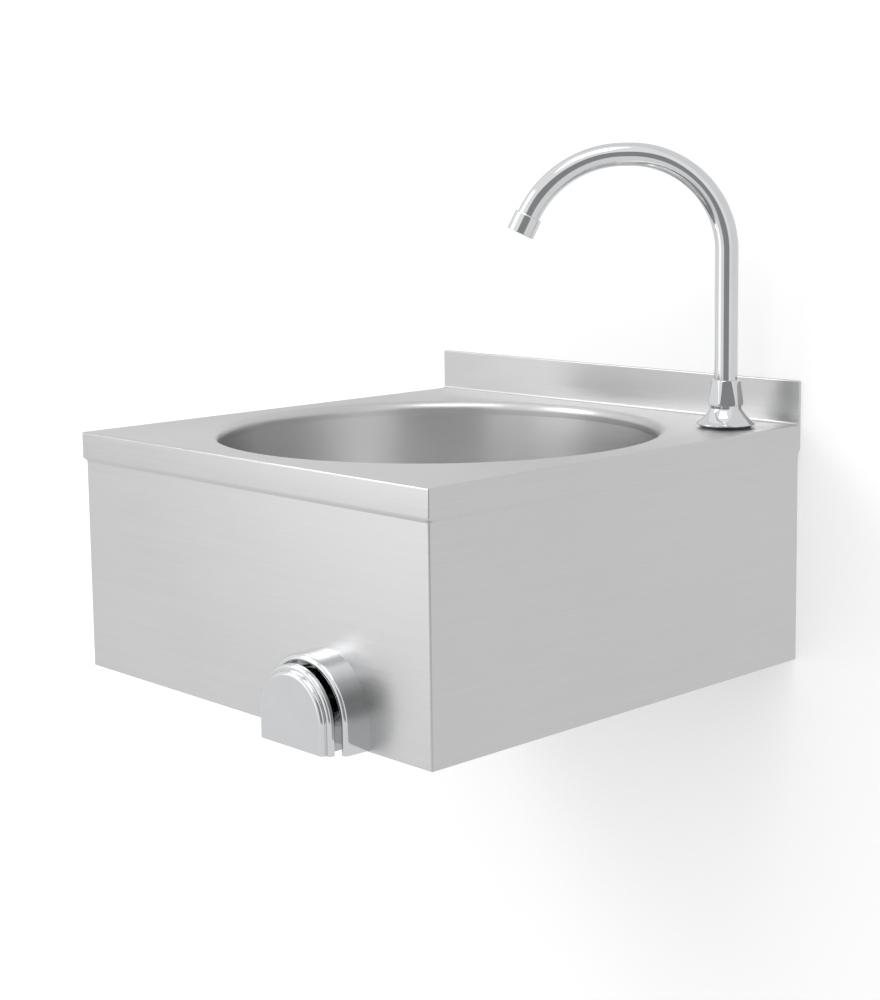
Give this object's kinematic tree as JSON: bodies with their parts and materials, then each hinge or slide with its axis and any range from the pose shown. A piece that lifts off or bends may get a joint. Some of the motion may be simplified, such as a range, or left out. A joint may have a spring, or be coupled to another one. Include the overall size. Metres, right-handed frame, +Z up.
{
  "type": "hand wash sink",
  "caption": "Wall-hung square stainless steel hand wash sink with a round drawn bowl, low splashback, swivel swan-neck spout and an arched knee-push valve in the front panel.",
  "frame": {"origin": "centre of the four wall bolt holes, on the wall plane", "axes": "+Y into the wall, so the front panel faces -Y; +Z up; +X to the right of someone facing the sink"},
  "size_m": [0.4, 0.4313, 0.4095],
  "materials": {
    "brushed_stainless": "fine horizontal grain, satin",
    "chrome_plate": "polished",
    "bare_brass": "machined",
    "copper": "drawn tube",
    "black_rubber": "matt",
    "red_fibre": "matt fibre",
    "pale_plastic": "moulded",
    "bright_steel": "bright turned or drawn"
  },
  "bodies": {
    "basin": {"deck": "brushed_stainless", "bowl": "brushed_stainless", "apron": "brushed_stainless", "hanger_rail": "brushed_stainless", "drain_strainer": "brushed_stainless", "spout_nut": "chrome_plate", "spout_flange": "chrome_plate", "knee_base": "chrome_plate", "spout_shank": "bare_brass", "tap_backnut": "bare_brass", "valve_body": "bare_brass", "valve_rear_plug": "bare_brass", "valve_locknut": "bare_brass", "gland_nut": "bare_brass", "pipe_nut_upper": "bare_brass", "pipe_nut_lower": "bare_brass", "pipe_olive_upper": "bare_brass", "pipe_olive_lower": "bare_brass", "inlet_nipple_hot": "bare_brass", "inlet_nipple_cold": "bare_brass", "outlet_pipe": "copper", "drain_gasket_upper": "black_rubber", "drain_gasket_lower": "black_rubber", "spout_gasket": "black_rubber", "tap_rubber_washer": "black_rubber", "plunger_seal": "black_rubber", "knee_base_gasket": "black_rubber", "valve_panel_washer": "red_fibre", "inlet_gasket_hot": "red_fibre", "inlet_gasket_cold": "red_fibre", "drain_body": "pale_plastic", "check_valve_hot": "pale_plastic", "check_valve_cold": "pale_plastic", "drain_screw": "bright_steel", "tap_steel_washer": "bright_steel", "return_spring": "bright_steel", "inlet_filter_hot": "bright_steel", "inlet_filter_cold": "bright_steel"},
    "spout": {"spout_tube": "chrome_plate", "spout_collar": "bare_brass", "spout_o_rings": "black_rubber", "spout_glide_ring": "pale_plastic", "aerator_housing": "chrome_plate", "aerator_insert": "pale_plastic", "aerator_washer": "black_rubber"},
    "knee_push": {"knee_pad": "chrome_plate", "pad_screw": "bright_steel", "plunger": "bright_steel", "valve_disc": "black_rubber"}
  },
  "joints": [
    {"name": "spout_swivel", "type": "hinge", "parent": "basin", "child": "spout", "pos_m": [0.1615, -0.0447, 0.12], "axis": [0, 0, 1], "range_deg": [-57, 143]},
    {"name": "knee_slide", "type": "slide", "parent": "basin", "child": "knee_push", "axis": [0, 1, 0], "range_m": [0, 0.008], "stiffness_N_per_m": 2000, "springref_m": -0.006, "deforming": ["return_spring"]}
  ]
}
